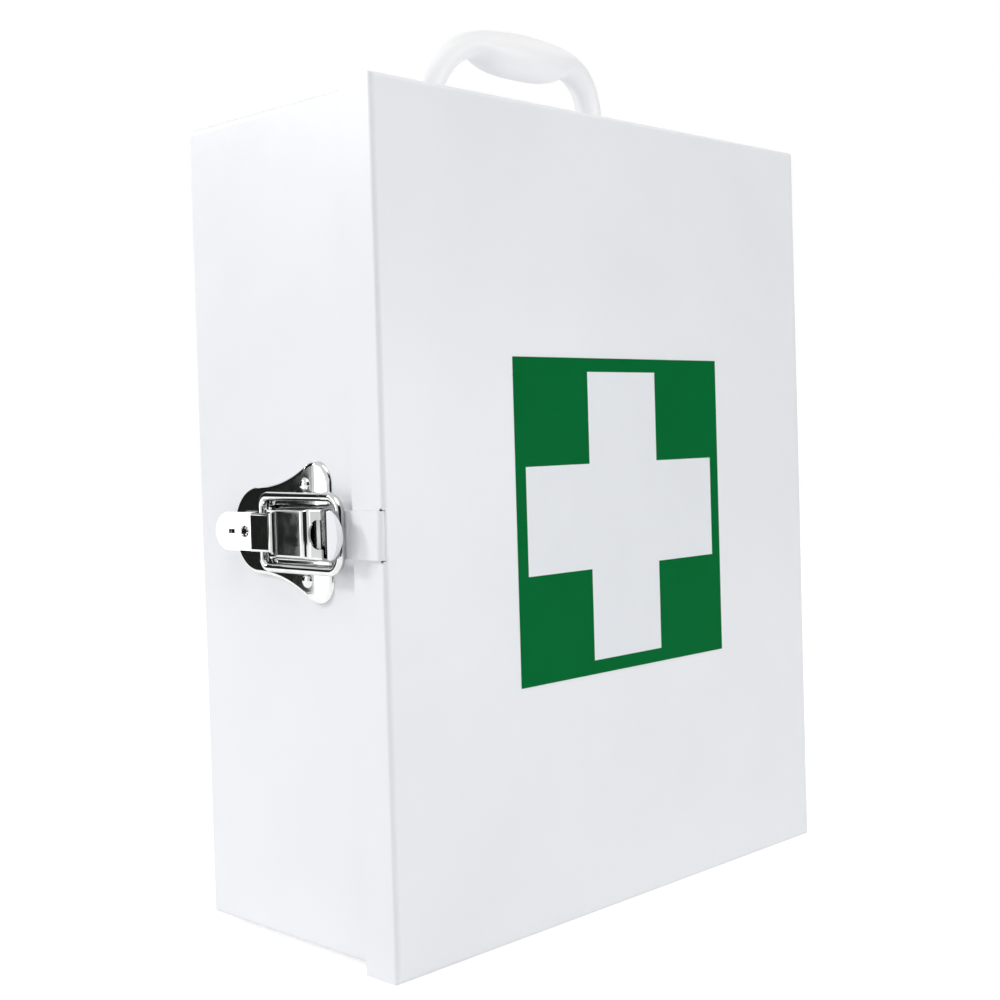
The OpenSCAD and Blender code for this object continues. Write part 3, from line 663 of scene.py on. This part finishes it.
def makeBail():
    # a ring of wire: half a bar, a bend, a leg, a bend and half the other bar, then mirrored
    half = widthOf("bail_ring") / 2 - bail["wire"]
    barU = spanU("bail_ring")[0] + bail["wire"]
    barH = topOf("bail_ring") - bail["wire"]
    length = Vector((eyeU - barU, eyeH - barH)).length
    lean = Vector((eyeU - barU, eyeH - barH)).angle_signed(Vector((1, 0)))
    bm = bmesh.new()
    bmesh.ops.create_circle(bm, cap_ends=False, radius=bail["wire"], segments=bail["sides"])
    bmesh.ops.rotate(bm, verts=bm.verts, cent=(0, 0, 0), matrix=Matrix.Rotation(pi / 2, 3, "X"))
    ring = {"geom": bm.verts[:] + bm.edges[:]}

    def onlyRing(result):
        # the open end that the next stretch of wire grows from
        verts = madeVerts(result)
        edges = [edge for edge in madeEdges(result) if all(vert in verts for vert in edge.verts)]
        return {"geom": verts + edges}

    def straight(step):
        out = bmesh.ops.extrude_edge_only(bm, edges=madeEdges(ring))
        bmesh.ops.translate(bm, verts=madeVerts(out), vec=step)
        return onlyRing(out)

    def bend(centre):
        out = bmesh.ops.spin(bm, geom=ring["geom"], cent=centre, axis=(0, 0, 1), angle=pi / 2,
                             steps=bail["bendSteps"])
        return onlyRing({"geom": out["geom_last"]})

    ring = straight((0, half - bail["eyeBend"], 0))
    ring = bend((-bail["eyeBend"], half - bail["eyeBend"], 0))
    ring = straight((bail["eyeBend"] + bail["frontBend"] - length, 0, 0))
    ring = bend((bail["frontBend"] - length, half - bail["frontBend"], 0))
    ring = straight((0, bail["frontBend"] - half, 0))
    bmesh.ops.mirror(bm, geom=bm.verts[:] + bm.edges[:] + bm.faces[:], axis="Y", merge_dist=near)
    bmesh.ops.remove_doubles(bm, verts=bm.verts, dist=near)
    bmesh.ops.rotate(bm, verts=bm.verts, cent=(0, 0, 0), matrix=Matrix.Rotation(-lean, 3, "Y"))
    bmesh.ops.translate(bm, verts=bm.verts, vec=(eyeU, 0, eyeH))
    finishPiece("bail_wire", bm, latchPlace, "bail", "bail_ring", "chrome_plate", bend=60)


makeBail()

strap = {
    "thick": 1.0, "inner": 13.0, "doorSkin": 0.8, "doorBend": 2.2,  # where it comes out of the door
    "standOff": 0.4, "stepDown": 0.7,  # over the flange, and down past its edge
    "stepAhead": 2.4, "stepBehind": 1.5, "joggle": 3.0,
    "hook": 7.2, "hookFold": 1.2, "fold": 1.4,
    "reach": 11.1, "lipDown": 0.5, "squash": 0.62,  # the half-moon lip
    "rim": 2.4, "rimLeast": 0.15, "rimRound": 0.8,
}


def makeStrap():
    width = widthOf("strike_strap")
    flange = boxMm("door_pan")[1].y - doorLow.y
    half = strap["thick"] / 2
    run = strap["standOff"] + half
    hookFloor = run - strap["stepDown"]
    wall = flange + strap["hook"]
    lip = topOf("strike_strap") - half - strap["lipDown"]
    skin = strap["doorSkin"] + half
    path = [(skin, -strap["inner"]), (skin, run), (flange - strap["stepAhead"], run),
            (flange + strap["stepBehind"], hookFloor), (wall, hookFloor), (wall, lip),
            (wall - strap["reach"], lip)]
    folds = [strap["doorBend"], strap["joggle"], strap["hookFold"], strap["fold"], strap["fold"]]
    bm = foldedStrip(path, width, folds)
    roundEnd(bm, wall - strap["reach"], width / 2 - 5 * near)
    lipStart = wall - strap["fold"]
    for vert in bm.verts:
        if abs(vert.co.z - lip) < near and vert.co.x < lipStart:
            vert.co.x = lipStart + (vert.co.x - lipStart) * strap["squash"]
    crown = [edge for edge in bm.edges if len(edge.link_faces) == 1
             and all(abs(vert.co.z - lip) < near and vert.co.x < lipStart - 10 * near for vert in edge.verts)]
    turned = bmesh.ops.extrude_edge_only(bm, edges=crown)
    for vert in madeVerts(turned):
        # the lip's round edge is turned down, deepest at its middle
        vert.co.z -= max(strap["rimLeast"], strap["rim"] * (1 - (2 * vert.co.y / width) ** 2))
    roundEdges(bm, [edge for edge in crown if len(edge.link_faces) == 2], strap["rimRound"], 4)
    finishPiece("strap_pressing", bm, latchPlace, "door", "strike_strap", "powder_coat", bend=40,
                sheet=strap["thick"], edge=0.25, broad=20)


makeStrap()

print("light")
studio = {
    "sky": 0.36,  # what the world gives as light
    "paper": "E6E6E6", "paperGlow": 0.72,  # the floor, and what the eye sees on top of its own white
    "floorWide": 8, "cloth": "2C2E2C", "drapeOut": 1.6, "drapeTall": 1.3,
}
floorHeight = doorLow.z * mm
aim = (0, -0.068, 0)
# (name, size, place, watts), in metres
softLights = [
    ("left_softbox", (0.9, 1.2), (-1.71, 0.86, 0.3), 5.3),
    ("front_softbox", (1.6, 1.0), (0.7, -1.9, -0.2), 26.5),
    ("top_softbox", (1.2, 1.2), (-0.75, -0.75, 1.8), 14),
    ("back_left_lamp", (0.35, 0.35), (-1.15, 1.35, 0.95), 16.5),  # draws the latch's shadow on its strap
]
# (name, start, end), in degrees from the left, anticlockwise from above
drapes = [("front_drape", 28, 180), ("back_drape", -130, -46)]


def stagePiece(name, bm, material):
    mesh = bpy.data.meshes.new(name)
    bm.to_mesh(mesh)
    bm.free()
    mesh.materials.append(material)
    piece = bpy.data.objects.new(name, mesh)
    scene.collection.objects.link(piece)
    return piece


def softLight(name, size, at, power):
    lamp = bpy.data.lights.new(name, "AREA")
    lamp.shape = "RECTANGLE"
    lamp.size, lamp.size_y = size
    lamp.energy = power
    lampObject = bpy.data.objects.new(name, lamp)
    lampObject.location = at
    lampObject.rotation_euler = (Vector(at) - Vector(aim)).to_track_quat("Z", "Y").to_euler()
    scene.collection.objects.link(lampObject)


def blackCloth():
    # Black cotton drape: dull, and only a little lighter than black.
    settings = {"Roughness": 1.0, "Specular IOR Level": 0.0, "Base Color": linear(studio["cloth"])}
    return startMaterial("black_cloth", settings)[0]


def hangDrape(name, start, end, cloth):
    # a round wall of cloth that only metal and gloss see
    bm = bmesh.new()
    foot = bmesh.ops.create_vert(bm, co=(-studio["drapeOut"], 0, floorHeight + 0.002))["vert"]
    rise = bmesh.ops.extrude_vert_indiv(bm, verts=foot)["verts"]
    bmesh.ops.translate(bm, verts=rise, vec=(0, 0, studio["drapeTall"]))
    bmesh.ops.rotate(bm, verts=bm.verts, cent=(0, 0, 0), matrix=Matrix.Rotation(radians(start), 3, "Z"))
    bmesh.ops.spin(bm, geom=bm.verts[:] + bm.edges[:], cent=(0, 0, 0), axis=(0, 0, 1),
                   angle=radians(end - start), steps=24)
    drape = stagePiece(name, bm, cloth)
    drape.visible_camera = drape.visible_diffuse = drape.visible_shadow = drape.visible_transmission = False


def seenByEye(owner):
    # 1 in what the camera, a mirror or glass sees, and 0 in what only lights the object
    rays = addNode(owner, "ShaderNodeLightPath")
    either = addNode(owner, "ShaderNodeMath", {"operation": "MAXIMUM"},
                     {0: rays.outputs["Is Camera Ray"], 1: rays.outputs["Is Glossy Ray"]})
    return addNode(owner, "ShaderNodeMath", {"operation": "MAXIMUM"},
                   {0: either.outputs[0], 1: rays.outputs["Is Transmission Ray"]}).outputs[0]


def whiteSky():
    world = bpy.data.worlds.new("studio")
    world.use_nodes = True
    world.node_tree.nodes.clear()
    strength = addNode(world, "ShaderNodeMapRange", {"To Min": studio["sky"], "To Max": 1.0},
                       {"Value": seenByEye(world)})
    sky = addNode(world, "ShaderNodeBackground", {"Color": (1, 1, 1, 1)}, {"Strength": strength.outputs[0]})
    addNode(world, "ShaderNodeOutputWorld", links={"Surface": sky.outputs[0]})
    return world


def paperFloor():
    # White background paper: dull, and it keeps a soft shadow of the cabinet.
    material = bpy.data.materials.new("background_paper")
    material.use_nodes = True
    material.node_tree.nodes.clear()
    glow = addNode(material, "ShaderNodeMath", {"operation": "MULTIPLY", 1: studio["paperGlow"]},
                   {0: seenByEye(material)})
    paper = addNode(material, "ShaderNodeBsdfDiffuse", {"Color": linear(studio["paper"])})
    shine = addNode(material, "ShaderNodeEmission", {"Color": (1, 1, 1, 1)}, {"Strength": glow.outputs[0]})
    both = addNode(material, "ShaderNodeAddShader", links={0: paper.outputs[0], 1: shine.outputs[0]})
    addNode(material, "ShaderNodeOutputMaterial", links={"Surface": both.outputs[0]})
    bm = bmesh.new()
    bmesh.ops.create_grid(bm, x_segments=1, y_segments=1, size=studio["floorWide"] / 2)
    bmesh.ops.translate(bm, verts=bm.verts, vec=(0, 0, floorHeight))
    stagePiece("floor", bm, material)


cloth = blackCloth()
for drape in drapes:
    hangDrape(*drape, cloth)
for lamp in softLights:
    softLight(*lamp)
scene.world = whiteSky()
paperFloor()
